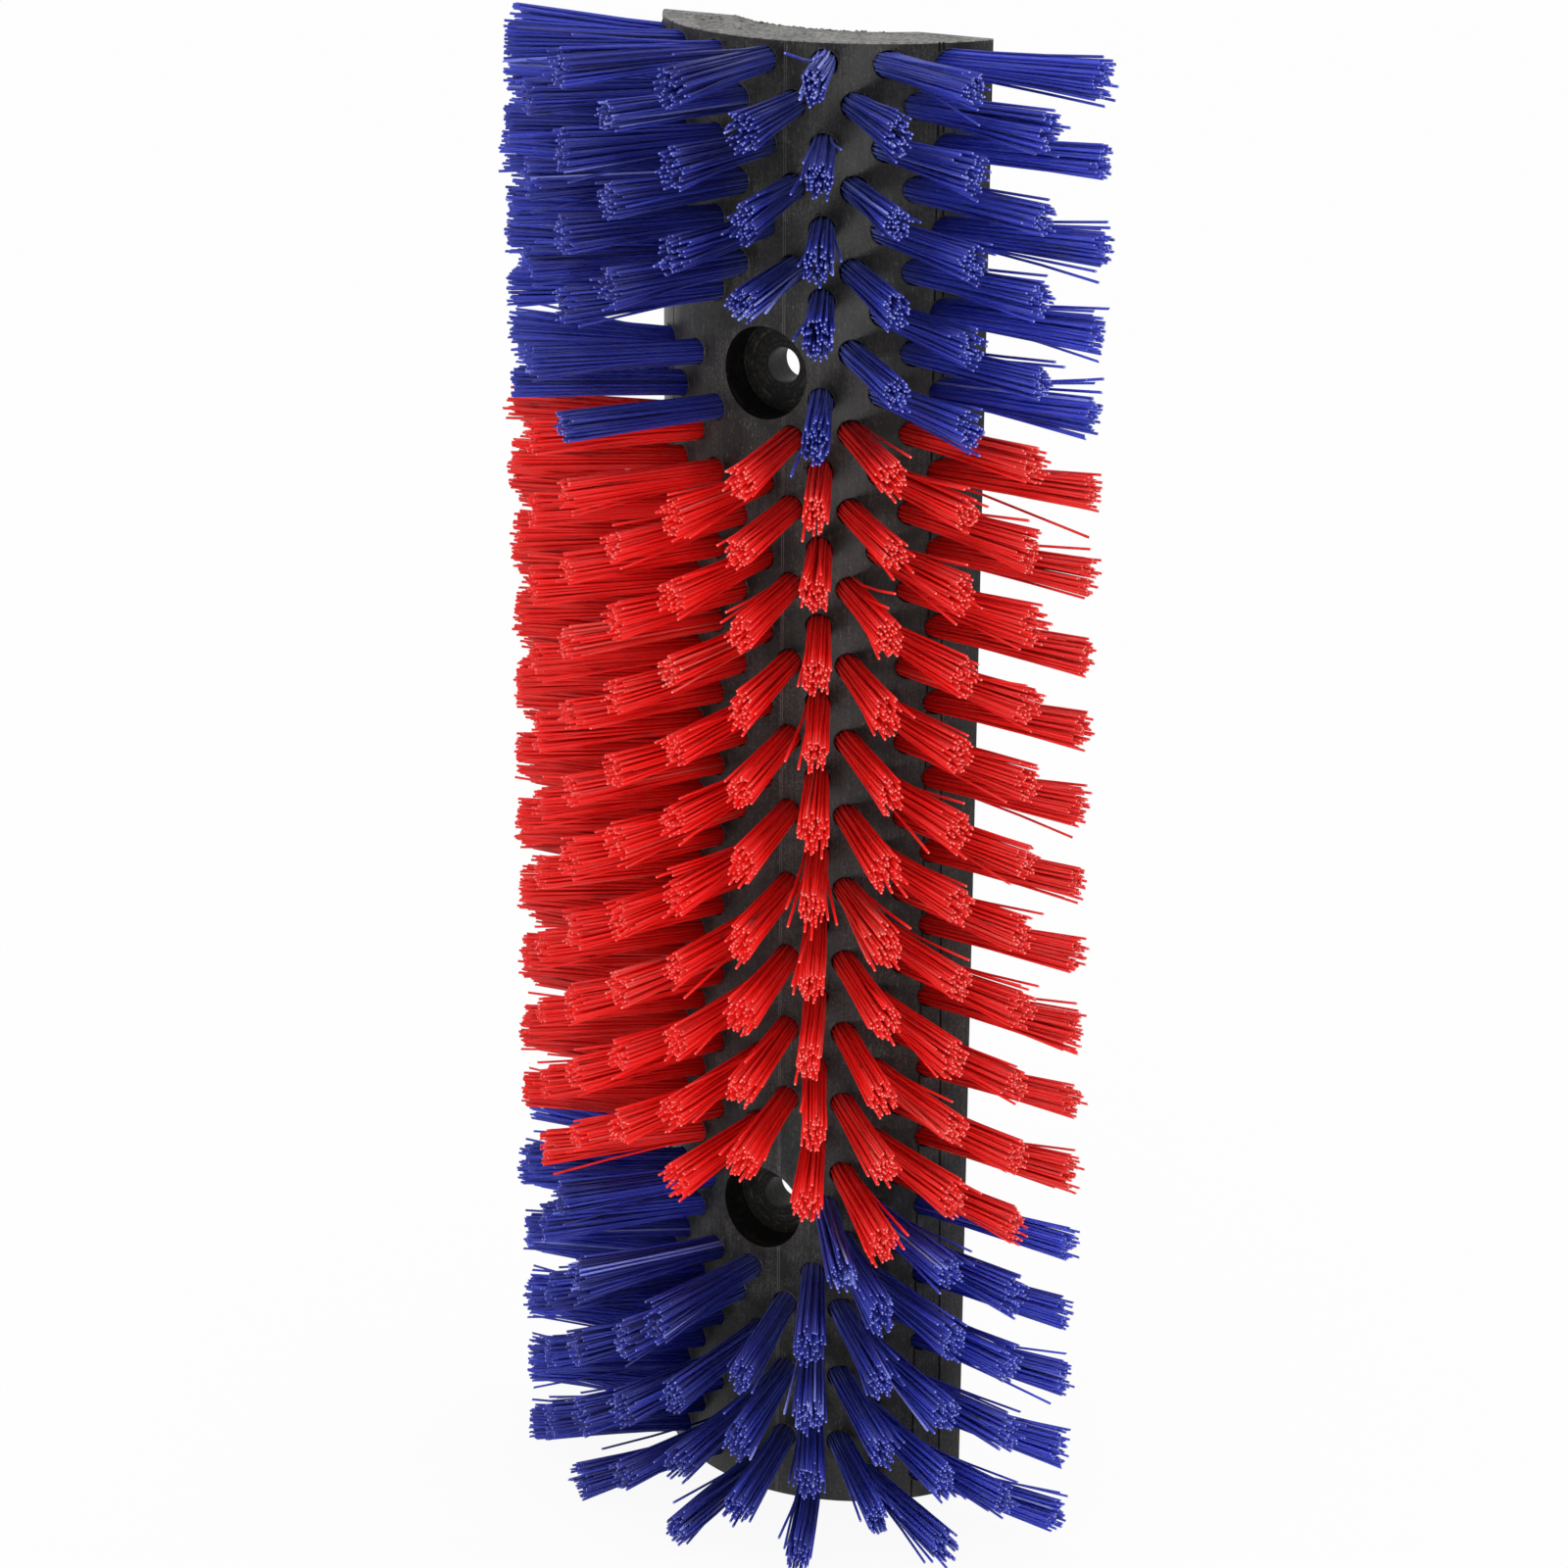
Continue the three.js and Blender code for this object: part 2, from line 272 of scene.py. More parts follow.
def sawn_polyethylene():
    """The same plastic where a saw has cut it off: torn, matt and greyer, with arcs of the blade's teeth."""
    made, tree, surface = new_material("sawn_polyethylene", IOR=1.54, Specular_IOR_Level=0.25, Roughness=0.72)
    place = add(tree, "TexCoord").outputs["Object"]
    blade = add(tree, "Mapping", {"Vector": place, "Location": (0.16, -0.22, 0)})
    arcs = add(
        tree,
        "TexWave",
        {"Vector": blade.outputs[0], "Scale": 1 / (11 * MM), "Distortion": 1.5, "Detail": 3.0},
        wave_type="RINGS",
        rings_direction="Z",
    )
    torn = add(tree, "TexNoise", {"Vector": place, "Scale": 1 / (2.2 * MM), "Detail": 7.0, "Roughness": 0.78})
    clouds = add(tree, "TexNoise", {"Vector": place, "Scale": 1 / (12 * MM), "Detail": 3.0})
    cut_up = add(
        tree, "Math", {0: arcs.outputs["Fac"], 1: 0.07, 2: torn.outputs["Fac"]}, operation="MULTIPLY_ADD"
    )
    mottled = add(
        tree, "Math", {0: clouds.outputs["Fac"], 1: 0.3, 2: cut_up.outputs[0]}, operation="MULTIPLY_ADD"
    )
    shade = add(tree, "ValToRGB", {"Fac": mottled.outputs[0]}, stops=[(0.52, "#2b2a29"), (0.82, "#a09f9c")])
    tree.links.new(shade.outputs[0], surface.inputs["Base Color"])
    bump = add(tree, "Bump", {"Height": cut_up.outputs[0], "Strength": 0.9, "Distance": 0.45 * MM})
    tree.links.new(bump.outputs[0], surface.inputs["Normal"])
    return made


def bored_polyethylene_painted_shade():
    """Where a counterbore's cutter has turned in it: satin and painted darker than the outside, as shade in
    the recess, with a broken swirl of fine rings, one deeper ring round the bolt, and a few pale crumbs."""
    made, tree, surface = new_material("bored_polyethylene_painted_shade", IOR=1.54, Specular_IOR_Level=0.15, Roughness=0.5)
    place = add(tree, "TexCoord").outputs["Object"]
    split = add(tree, "SeparateXYZ", {0: place})
    level = add(tree, "Math", {0: split.outputs[2], 1: MIDDLE_Z}, operation="SUBTRACT")
    folded = add(tree, "Math", {0: level.outputs[0]}, operation="ABSOLUTE")
    above = add(tree, "Math", {0: folded.outputs[0], 1: BOLT_SPACING / 2 * MM}, operation="SUBTRACT")
    flat = add(tree, "CombineXYZ", {0: split.outputs[0], 2: above.outputs[0]})
    radius = add(tree, "VectorMath", {0: flat.outputs[0]}, operation="LENGTH")
    # Real rings are about 0.2 mm apart. They are drawn four times coarser, so that they show.
    turned = add(tree, "CombineXYZ", {0: radius.outputs["Value"], 1: split.outputs[1]})
    rings = add(tree, "TexNoise", {"Vector": turned.outputs[0], "Scale": 1 / (0.8 * MM), "Detail": 3.0})
    dust = add(
        tree, "TexNoise", {"Vector": place, "Scale": 1 / (1.4 * MM), "Detail": 5.0, "Roughness": 0.75}
    )
    both = add(tree, "Math", {0: rings.outputs["Fac"], 1: dust.outputs["Fac"]}, operation="MULTIPLY")
    # Painted shade: the counterbore is painted darker than the turned outside, for the shade in its recess.
    shade = add(tree, "ValToRGB", {"Fac": both.outputs[0]}, stops=[(0.18, "#0c0c0b"), (0.42, "#131211")])
    scratch = add(
        tree,
        "MapRange",
        {"Value": rings.outputs["Fac"], "From Min": 0.5, "From Max": 0.62, "To Min": 0.0, "To Max": 0.6},
    )
    step = add(
        tree,
        "Math",
        {0: radius.outputs["Value"], 1: BORE_STEP_R * MM, 2: 0.35 * MM},
        operation="COMPARE",
    )
    scored = add(tree, "Math", {0: scratch.outputs[0], 1: step.outputs[0]}, operation="MAXIMUM")
    patches = add(tree, "TexNoise", {"Vector": place, "Scale": 1 / (5 * MM), "Detail": 4.0, "Roughness": 0.7})
    patch = add(
        tree,
        "MapRange",
        {"Value": patches.outputs["Fac"], "From Min": 0.46, "From Max": 0.62, "To Min": 0.0, "To Max": 0.4},
    )
    swirl = add(tree, "Math", {0: scored.outputs[0], 1: patch.outputs[0]}, operation="MULTIPLY")
    swirled = add(
        tree, "Mix", {0: swirl.outputs[0], 6: shade.outputs[0], 7: paint("#5e5c58")}, data_type="RGBA"
    )
    crumbs = add(
        tree, "TexNoise", {"Vector": place, "Scale": 1 / (1.4 * MM), "Detail": 6.0, "Roughness": 0.8}
    )
    crumb = add(
        tree,
        "MapRange",
        {"Value": crumbs.outputs["Fac"], "From Min": 0.54, "From Max": 0.66, "To Min": 0.0, "To Max": 0.35},
    )
    flecked = add(
        tree, "Mix", {0: crumb.outputs[0], 6: swirled.outputs[2], 7: paint("#55534f")}, data_type="RGBA"
    )
    tree.links.new(flecked.outputs[2], surface.inputs["Base Color"])
    bump = add(tree, "Bump", {"Height": both.outputs[0], "Strength": 0.5, "Distance": 0.12 * MM})
    tree.links.new(bump.outputs[0], surface.inputs["Normal"])
    return made


def drilled_polyethylene(name, dark, pale, rough):
    """The wall of a drilled hole: smeared and scored round, dark with paler streaks."""
    made, tree, surface = new_material(name, IOR=1.54, Specular_IOR_Level=0.1, Roughness=rough)
    place = add(tree, "TexCoord").outputs["Object"]
    scored = add(tree, "Mapping", {"Vector": place, "Scale": (0.2, 1, 0.2)})
    lines = add(tree, "TexNoise", {"Vector": scored.outputs[0], "Scale": 1 / (0.5 * MM), "Detail": 3.0})
    shade = add(tree, "ValToRGB", {"Fac": lines.outputs["Fac"]}, stops=[(0.35, dark), (0.7, pale)])
    tree.links.new(shade.outputs[0], surface.inputs["Base Color"])
    bump = add(tree, "Bump", {"Height": lines.outputs["Fac"], "Strength": 0.3, "Distance": 0.1 * MM})
    tree.links.new(bump.outputs[0], surface.inputs["Normal"])
    return made


def extruded_polyethylene():
    """The plastic's own skin in the channel and on the back: smooth, with long faint die lines."""
    made, tree, surface = new_material("extruded_polyethylene", IOR=1.54, Specular_IOR_Level=0.25)
    place = add(tree, "TexCoord").outputs["Object"]
    along = add(tree, "Mapping", {"Vector": place, "Scale": (1, 1, 0.004)})
    lines = add(tree, "TexNoise", {"Vector": along.outputs[0], "Scale": 1 / (2.2 * MM), "Detail": 4.0})
    scuffs = add(
        tree, "TexNoise", {"Vector": place, "Scale": 1 / (35 * MM), "Detail": 6.0, "Roughness": 0.65}
    )
    both = add(tree, "Math", {0: lines.outputs["Fac"], 1: scuffs.outputs["Fac"]}, operation="MULTIPLY")
    shade = add(tree, "ValToRGB", {"Fac": both.outputs[0]}, stops=[(0.15, "#252524"), (0.42, "#3a3a39")])
    tree.links.new(shade.outputs[0], surface.inputs["Base Color"])
    dull = add(
        tree,
        "MapRange",
        {"Value": scuffs.outputs["Fac"], "From Min": 0.3, "From Max": 0.7, "To Min": 0.3, "To Max": 0.48},
    )
    tree.links.new(dull.outputs[0], surface.inputs["Roughness"])
    bump = add(tree, "Bump", {"Height": lines.outputs["Fac"], "Strength": 0.3, "Distance": 0.12 * MM})
    tree.links.new(bump.outputs[0], surface.inputs["Normal"])
    return made


def polypropylene_filament(name, crown_painted_shade, flank_painted_light, faded, haze, through, shine):
    """Extruded polypropylene filament, dyed through: satin and lit from within. A strand's tint takes its
    colour from the painted shade of the crown's tufts to the painted light of the flanks', or to faded where
    it is worn. All strands fade a little towards their tips. Through is how far red, green and blue light go,
    in millimetres."""
    made, tree, surface = new_material(
        name,
        IOR=1.49,
        Specular_IOR_Level=shine,
        Subsurface_Weight=1.0,
        Subsurface_Radius=through,
        Subsurface_Scale=MM,
        Sheen_Weight=0.4,
        Sheen_Roughness=0.4,
        Sheen_Tint=paint(haze),
    )
    tint = add(tree, "Attribute", attribute_name="tint")
    shade = add(
        tree,
        "ValToRGB",
        {"Fac": tint.outputs["Fac"]},
        stops=[(0.0, crown_painted_shade), (FRESH_TINT, flank_painted_light), (WORN_TINT, faded)],
    )
    run = add(tree, "Attribute", attribute_name="run")
    paling = add(
        tree,
        "MapRange",
        {"Value": run.outputs["Fac"], "From Min": 0.6, "From Max": 1.0, "To Min": 0.0, "To Max": 0.04},
    )
    colour = add(
        tree, "Mix", {0: paling.outputs[0], 6: shade.outputs[0], 7: paint(faded)}, data_type="RGBA"
    )
    tree.links.new(colour.outputs[2], surface.inputs["Base Color"])
    place = add(tree, "TexCoord").outputs["Object"]
    clouds = add(tree, "TexNoise", {"Vector": place, "Scale": 1 / (3 * MM), "Detail": 2.0})
    gloss = add(
        tree,
        "MapRange",
        {"Value": clouds.outputs["Fac"], "From Min": 0.3, "From Max": 0.7, "To Min": 0.4, "To Max": 0.56},
    )
    tree.links.new(gloss.outputs[0], surface.inputs["Roughness"])
    return made


def cut_filament(name, rim, middle):
    """A filament's cut end, with a painted glow: darker at its rim and pale in its middle, where light that
    entered the strand leaves, the more so the paler the strand's tint.
    """
    made, tree, surface = new_material(name, IOR=1.49, Specular_IOR_Level=0.3, Roughness=0.45)
    tint = add(tree, "Attribute", attribute_name="tint")
    core = add(tree, "Attribute", attribute_name="core")
    # Painted glow: how far the cut end's middle is painted pale, by the strand's tint.
    glow_by_tint = add(tree, "Math", {0: tint.outputs["Fac"], 1: 0.35}, operation="ADD")
    glow = add(tree, "Math", {0: glow_by_tint.outputs[0], 1: core.outputs["Fac"]}, operation="MULTIPLY")
    shade = add(tree, "ValToRGB", {"Fac": glow.outputs[0]}, stops=[(0.1, rim), (0.5, middle)])
    tree.links.new(shade.outputs[0], surface.inputs["Base Color"])
    return made


def seen_share(tree):
    """1 where the camera sees a thing, also in a reflection or through glass, and 0 where it gives light."""
    rays = add(tree, "LightPath").outputs
    seen = rays["Is Camera Ray"]
    for way in ("Is Glossy Ray", "Is Transmission Ray"):
        seen = add(tree, "Math", {0: seen, 1: rays[way]}, operation="MAXIMUM").outputs[0]
    return seen


def studio_floor():
    """Pale and matt. It looks white, and keeps a faint shadow of what stands on it."""
    made, tree, surface = new_material("studio_floor", Base_Color=paint("#f4f4f4"), Roughness=0.9)
    share = add(tree, "Math", {0: seen_share(tree), 1: 0.93}, operation="MULTIPLY")
    white = add(tree, "Emission", {"Color": (1, 1, 1, 1), "Strength": 1.0})
    both = add(tree, "MixShader", {0: share.outputs[0], 1: surface.outputs[0], 2: white.outputs[0]})
    output = next(n for n in tree.nodes if n.type == "OUTPUT_MATERIAL")
    tree.links.new(both.outputs[0], output.inputs["Surface"])
    return made


# ---------------------------------------------------------------- modelling


def start_piece(name):
    """Names the primitive that was just added and puts its place into its mesh."""
    piece = bpy.context.object
    piece.name = name
    piece.data.name = name
    bpy.ops.object.transform_apply(location=True, rotation=True, scale=True)
    return piece


def cylinder(name, radius, depth, place, sides, along_y=False):
    """A cylinder round its place, upright or lying along Y."""
    bpy.ops.object.select_all(action="DESELECT")
    turn = (math.pi / 2, 0, 0) if along_y else (0, 0, 0)
    bpy.ops.mesh.primitive_cylinder_add(
        vertices=sides, radius=radius, depth=depth, location=place, rotation=turn
    )
    return start_piece(name)


def cut(body, cutter):
    """Takes the cutter's shape out of the body, and the cutter away."""
    bpy.ops.object.select_all(action="DESELECT")
    bpy.context.view_layer.objects.active = body
    body.select_set(True)
    made = body.modifiers.new("cut", "BOOLEAN")
    made.operation = "DIFFERENCE"
    made.solver = "MANIFOLD"
    made.object = cutter
    bpy.ops.object.modifier_apply(modifier=made.name)
    bpy.data.objects.remove(cutter)


def corners_of(piece):
    """The places of a piece's vertices, as an array."""
    return np.array([v.co for v in piece.data.vertices])


def copies_of(model, name, shapes):
    """One mesh with a copy of the model's mesh for each shape, which is an array of its vertices' places. The
    model goes."""
    source = model.data
    corners = [list(face.vertices) for face in source.polygons]
    starts = np.arange(len(shapes)) * len(source.vertices)
    faces = [(start + np.array(face)).tolist() for start in starts for face in corners]
    made = bpy.data.meshes.new(name)
    made.from_pydata(np.concatenate(shapes).tolist(), [], faces)
    smooth = [face.use_smooth for face in source.polygons] * len(shapes)
    made.polygons.foreach_set("use_smooth", smooth)
    slots = [face.material_index for face in source.polygons] * len(shapes)
    made.polygons.foreach_set("material_index", slots)
    piece = bpy.data.objects.new(name, made)
    bpy.context.scene.collection.objects.link(piece)
    bpy.data.objects.remove(model)
    return piece


def close_row_drop(column, row):
    """How much lower a tuft is where the rows are drilled a little closer to each other."""
    first = UPPER_BLUE_ROWS - CLOSE_BLUE_ROWS
    last = UPPER_BLUE_ROWS + RED_ROWS - 1
    if column > 0 or not first <= row <= last:
        return 0
    level = last - RAISED_ROWS
    return CLOSE_ROWS_DROP * HALF_ROW * (level - row) / (level - first)


def tuft_place(column, row):
    """Angle from the crown and height of a tuft, or None where there is none."""
    if (row + column) % 2:
        return None
    angle = column * COLUMN_STEP
    z = LENGTH / MM - TOP_MARGIN - row * HALF_ROW - close_row_drop(column, row)
    for bolt_z, breaks in zip(BOLT_Z, (UPPER_BOLT, LOWER_BOLT)):
        bolt_row = round((LENGTH / MM - TOP_MARGIN - bolt_z / MM) / HALF_ROW)
        here = (column, row - bolt_row)
        if here in breaks["left_out"]:
            return None
        around, down = breaks["shifted"].get(here, (0, 0))
        angle += around * COLUMN_STEP
        z -= down * HALF_ROW
        if math.hypot(OUTER_R * math.sin(angle), z - bolt_z / MM) < COUNTERBORE_D / 2 + TUFT_ROOM:
            return None
    return angle, z


def on_arc(angle, z):
    """The place on the shell's outside at an angle from its crown and a height in metres."""
    return Vector((OUTER_R * MM * math.sin(angle), ARC_Y - OUTER_R * MM * math.cos(angle), z))


def tuft_frames(first_row=0, last_row=HALF_ROWS - 1):
    """For each tuft, where it leaves the shell and the directions out along it, across it and up."""
    frames = {}
    for row in range(first_row, last_row + 1):
        for column in range(-COLUMNS_EACH_SIDE, COLUMNS_EACH_SIDE + 1):
            place = tuft_place(column, row)
            if not place:
                continue
            angle, z = place
            turn = math.radians(TUFT_TURN) * angle / COLUMN_STEP
            out = Vector((math.sin(turn), -math.cos(turn), 0))
            up = Vector((0, 0, 1))
            frames[column, row] = (on_arc(angle, z * MM), out, up.cross(out), up)
    return frames


def tuft_holes():
    """The drilled holes as one cutter."""
    beyond = 6
    drill = cylinder("drill", TUFT_HOLE_D / 2 * MM, (TUFT_HOLE_DEPTH + beyond) * MM, (0, 0, 0), sides=20)
    model = corners_of(drill)
    model[:, 2] += (beyond - TUFT_HOLE_DEPTH) / 2 * MM
    shapes = [
        np.array(root) + model @ np.array([across, up, out])
        for root, out, across, up in tuft_frames().values()
    ]
    return copies_of(drill, "tuft_holes", shapes)


def deselect_all():
    """Leaves the active piece in object mode with nothing selected in it, ready for edges to be selected."""
    bpy.ops.object.mode_set(mode="EDIT")
    bpy.ops.mesh.select_mode(type="EDGE")
    bpy.ops.mesh.select_all(action="DESELECT")
    bpy.ops.object.mode_set(mode="OBJECT")


def edge_ends(piece):
    """Each edge of a piece with the places of its two ends."""
    corners = piece.data.vertices
    return [(edge, *(corners[i].co for i in edge.vertices)) for edge in piece.data.edges]


def turned_bar():
    """The shell before it is cut: a bar with chamfered ends, flat at the back and chamfered beside it."""
    touching = 0.001 * MM
    bar = cylinder("shell_body", OUTER_R * MM, LENGTH, (0, ARC_Y, LENGTH / 2), sides=288)
    deselect_all()
    for edge, a, b in edge_ends(bar):
        edge.select = abs(a.z - b.z) < LENGTH / 2
    bpy.ops.object.mode_set(mode="EDIT")
    bpy.ops.mesh.bevel(offset=END_CHAMFER * MM, segments=1)
    bpy.ops.mesh.select_all(action="SELECT")
    bpy.ops.mesh.bisect(plane_co=(0, BACK_Y, 0), plane_no=(0, 1, 0), use_fill=True, clear_outer=True)
    bpy.ops.object.mode_set(mode="OBJECT")
    deselect_all()
    for edge, a, b in edge_ends(bar):
        on_back = max(abs(a.y - BACK_Y), abs(b.y - BACK_Y)) < touching
        edge.select = on_back and abs(a.z - b.z) > LENGTH / 2
    bpy.ops.object.mode_set(mode="EDIT")
    bpy.ops.mesh.bevel(offset=EDGE_CHAMFER * MM, segments=1)
    bpy.ops.object.mode_set(mode="OBJECT")
    return bar


def shell_body():
    """The turned bar with its channel, its grooves and all its holes."""
    beyond = 20 * MM
    through = LENGTH + 2 * beyond
    body = turned_bar()
    cut(body, cylinder("channel", CHANNEL_R * MM, through, (0, CHANNEL_Y, LENGTH / 2), sides=240))
    for below, above in GROOVES:
        start = on_arc(math.radians(below), 0)
        end = on_arc(math.radians(above), LENGTH)
        groove = cylinder("groove", GROOVE_WIDTH / 2 * MM, through, (0, 0, 0), sides=6)
        turn = (end - start).to_track_quat("Z", "Y").to_matrix().to_4x4()
        groove.data.transform(Matrix.Translation((start + end) / 2) @ turn)
        cut(body, groove)
    depth = SEAT_Y - CROWN_Y + beyond
    for z in BOLT_Z:
        place = (0, SEAT_Y - depth / 2, z)
        cut(body, cylinder("counterbore", COUNTERBORE_D / 2 * MM, depth, place, sides=72, along_y=True))
        place = (0, SEAT_Y + beyond, z)
        cut(body, cylinder("bolt_hole", BOLT_HOLE_D / 2 * MM, 4 * beyond, place, sides=48, along_y=True))
    cut(body, tuft_holes())
    return body


def finish_of(face):
    """Which of the shell's finishes a face has, by its place."""
    x, y, z = face.center
    near = 0.06 * MM
    if abs(face.normal.z) > 0.5 and min(z, LENGTH - z) < END_CHAMFER * MM:
        return SAWN
    to_bolt = min(math.hypot(x, z - bolt_z) for bolt_z in BOLT_Z)
    on_seat = abs(y - SEAT_Y) < near and to_bolt < COUNTERBORE_D / 2 * MM
    on_bore = abs(to_bolt - COUNTERBORE_D / 2 * MM) < near and y < SEAT_Y
    if on_seat or on_bore:
        return BORED_PAINTED_SHADE
    if abs(to_bolt - BOLT_HOLE_D / 2 * MM) < near:
        return BOLT_WALL
    on_outside = math.hypot(x, y - ARC_Y) > OUTER_R * MM - near
    on_chamfer = abs(x) > (HALF_WIDTH - EDGE_CHAMFER) * MM and y > BACK_Y - EDGE_CHAMFER * MM
    if on_outside or on_chamfer:
        return TURNED
    in_channel = abs(math.hypot(x, y - CHANNEL_Y) - CHANNEL_R * MM) < near
    if y > BACK_Y - near or in_channel:
        return EXTRUDED
    return TUFT_WALL


def on_shell(points, out):
    """Points moved along a direction on to the shell's outside, and the ways out of the shell there."""
    flat = points[:, :2] - (0, ARC_Y)
    way = np.array(out)[:2]
    beside = flat @ way
    reach = -beside + np.sqrt(beside**2 - (flat**2).sum(1) + (OUTER_R * MM) ** 2)
    moved = points + reach[:, None] * np.array(out)
    normal = np.column_stack([(moved[:, :2] - (0, ARC_Y)) / (OUTER_R * MM), np.zeros(len(moved))])
    return moved, normal


def drill_burrs():
    """The thin raised rim round each tuft hole, ragged as the drill left it."""
    rng = np.random.default_rng(11)
    segments = 20
    tube = 0.1  # radius of the model rim's tube, where the rim's own is 1
    width = 0.8  # of a burr's tube, as a share of its height
    heights = (0.4, 1.1)
    torn_share, torn_height = 0.06, 1.5
    bpy.ops.object.select_all(action="DESELECT")
    bpy.ops.mesh.primitive_torus_add(
        major_segments=segments, minor_segments=3, major_radius=1, minor_radius=tube
    )
    rim = start_piece("rim")
    model = corners_of(rim)
    turn = np.arctan2(model[:, 1], model[:, 0])
    segment = np.round(turn / (2 * math.pi) * segments).astype(int) % segments
    aside = (np.hypot(model[:, 0], model[:, 1]) - 1) / tube
    raised = model[:, 2] / tube
    shapes = []
    for root, out, across, up in tuft_frames().values():
        ragged = rng.uniform(*heights, segments) + (rng.random(segments) < torn_share) * torn_height
        radius = (TUFT_HOLE_D / 2 + aside * BURR * width) * MM
        circle = np.outer(np.cos(turn) * radius, across) + np.outer(np.sin(turn) * radius, up)
        moved, normal = on_shell(np.array(root) + circle, out)
        shapes.append(moved + normal * (raised * ragged[segment] * BURR * MM)[:, None])
    return copies_of(rim, "drill_burrs", shapes)


def swarf():
    """Shreds that still hang on the rims of some tuft holes: torn loops and barbs."""
    rng = np.random.default_rng(5)
    frames = tuft_frames()
    bpy.ops.object.select_all(action="DESELECT")
    bpy.ops.mesh.primitive_torus_add(major_segments=12, minor_segments=4, major_radius=1, minor_radius=0.16)
    loop = start_piece("loop")
    bpy.ops.object.select_all(action="DESELECT")
    bpy.ops.mesh.primitive_cone_add(vertices=5, radius1=0.3, radius2=0.03, depth=3, location=(0, 0, 1.2))
    barb = start_piece("barb")
    lift = 0.5 * MM
    made = []
    # Each shred with its least and most size in millimetres, how many there are, and where more of them hang
    for model, sizes, count, more in ((loop, (0.9, 1.4), 26, SHREDDED), (barb, (0.6, 1.2), 60, [])):
        unit = corners_of(model)
        picked = [list(frames.values())[i] for i in rng.choice(len(frames), count, replace=False)]
        picked += [frames[tuft] for tuft in more]
        shapes = []
        for root, out, across, up in picked:
            turn = rng.uniform(0.1, 1.0) * math.pi  # on the upper half of the rim
            rim = TUFT_HOLE_D / 2 * MM * (math.cos(turn) * across + math.sin(turn) * up)
            base, normal = on_shell(np.array([root + rim]), out)
            tip = Matrix.Rotation(rng.uniform(-0.7, 0.7), 3, "X")
            twist = Matrix.Rotation(rng.uniform(0, 6.3), 3, "Z")
            size = rng.uniform(*sizes) * np.array([1, rng.uniform(0.6, 1), 1]) * MM
            turned = (unit * size) @ np.array(tip @ twist) @ np.array([across, up, out])
            shapes.append(base[0] + normal[0] * lift + turned)
        made.append(copies_of(model, "swarf", shapes))
    return made


def saw_chips():
    """Chips along the edge that the saw left last, at the channel, and crumbs on the upper end."""
    rng = np.random.default_rng(3)
    chips, crumbs = 130, 60
    sizes = (0.25, 0.75)  # least and most, in millimetres
    hang = 0.3  # how far a chip hangs over the channel, as a share of its size
    crumb_share = 0.7  # size of a crumb by that of a chip
    crumbs_x = (-58, -14)
    crumbs_depth = (0.35, 0.95)  # from the outside arc to the channel
    bpy.ops.object.select_all(action="DESELECT")
    bpy.ops.mesh.primitive_ico_sphere_add(subdivisions=1, radius=1)
    chip = start_piece("chip")
    unit = corners_of(chip)
    shapes = []
    for i in range(chips + crumbs):
        size = rng.uniform(*sizes) * MM
        if i < chips:
            x = CHANNEL_WIDTH * MM * (rng.beta(1.1, 1.9) - 0.5)  # more of them towards the left
            y = CHANNEL_Y - math.sqrt((CHANNEL_R * MM) ** 2 - x**2) - size * hang
        else:
            x = rng.uniform(*crumbs_x) * MM
            inner = CHANNEL_Y - math.sqrt(max((CHANNEL_R * MM) ** 2 - x**2, 0))
            outer = ARC_Y - math.sqrt((OUTER_R * MM) ** 2 - x**2)
            y = outer + (min(inner, BACK_Y) - outer) * rng.uniform(*crumbs_depth)
            size *= crumb_share
        rough = unit * rng.uniform(0.6, 1.3, unit.shape) * (1.5, 0.9, 0.8)
        shapes.append(np.array([x, y, LENGTH]) + rough * size)
    return copies_of(chip, "saw_chips", shapes)


def strand_model():
    """One filament, a unit high and a unit in radius, with rings to bend at and a cut end as its top."""
    strand = cylinder("strand", 1, 1, (0, 0, 0.5), STRAND_SIDES)
    deselect_all()
    for edge, a, b in edge_ends(strand):
        edge.select = abs(a.z - b.z) > 0.5
    bpy.ops.object.mode_set(mode="EDIT")
    bpy.ops.mesh.subdivide(number_cuts=STRAND_RINGS - 2)
    bpy.ops.object.mode_set(mode="OBJECT")
    deselect_all()
    for face in strand.data.polygons:
        face.select = face.normal.z > 0.5
    bpy.ops.object.mode_set(mode="EDIT")
    bpy.ops.mesh.poke()
    bpy.ops.object.mode_set(mode="OBJECT")
    for face in strand.data.polygons:
        face.use_smooth = abs(face.normal.z) < 0.5
        face.material_index = 1 if face.normal.z > 0.5 else 0
    return strand


def packed_round(count, rng):
    """Places of strands in a disc of radius 1, evenly packed and a little disturbed."""
    golden_angle = math.pi * (3 - math.sqrt(5))
    disturbance = 0.012
    i = np.arange(count) + 0.5
    radius = np.sqrt(i / count)
    turn = i * golden_angle + rng.uniform(0, 2 * math.pi)
    places = np.stack([radius * np.cos(turn), radius * np.sin(turn)], 1)
    return places + rng.normal(0, disturbance, places.shape)


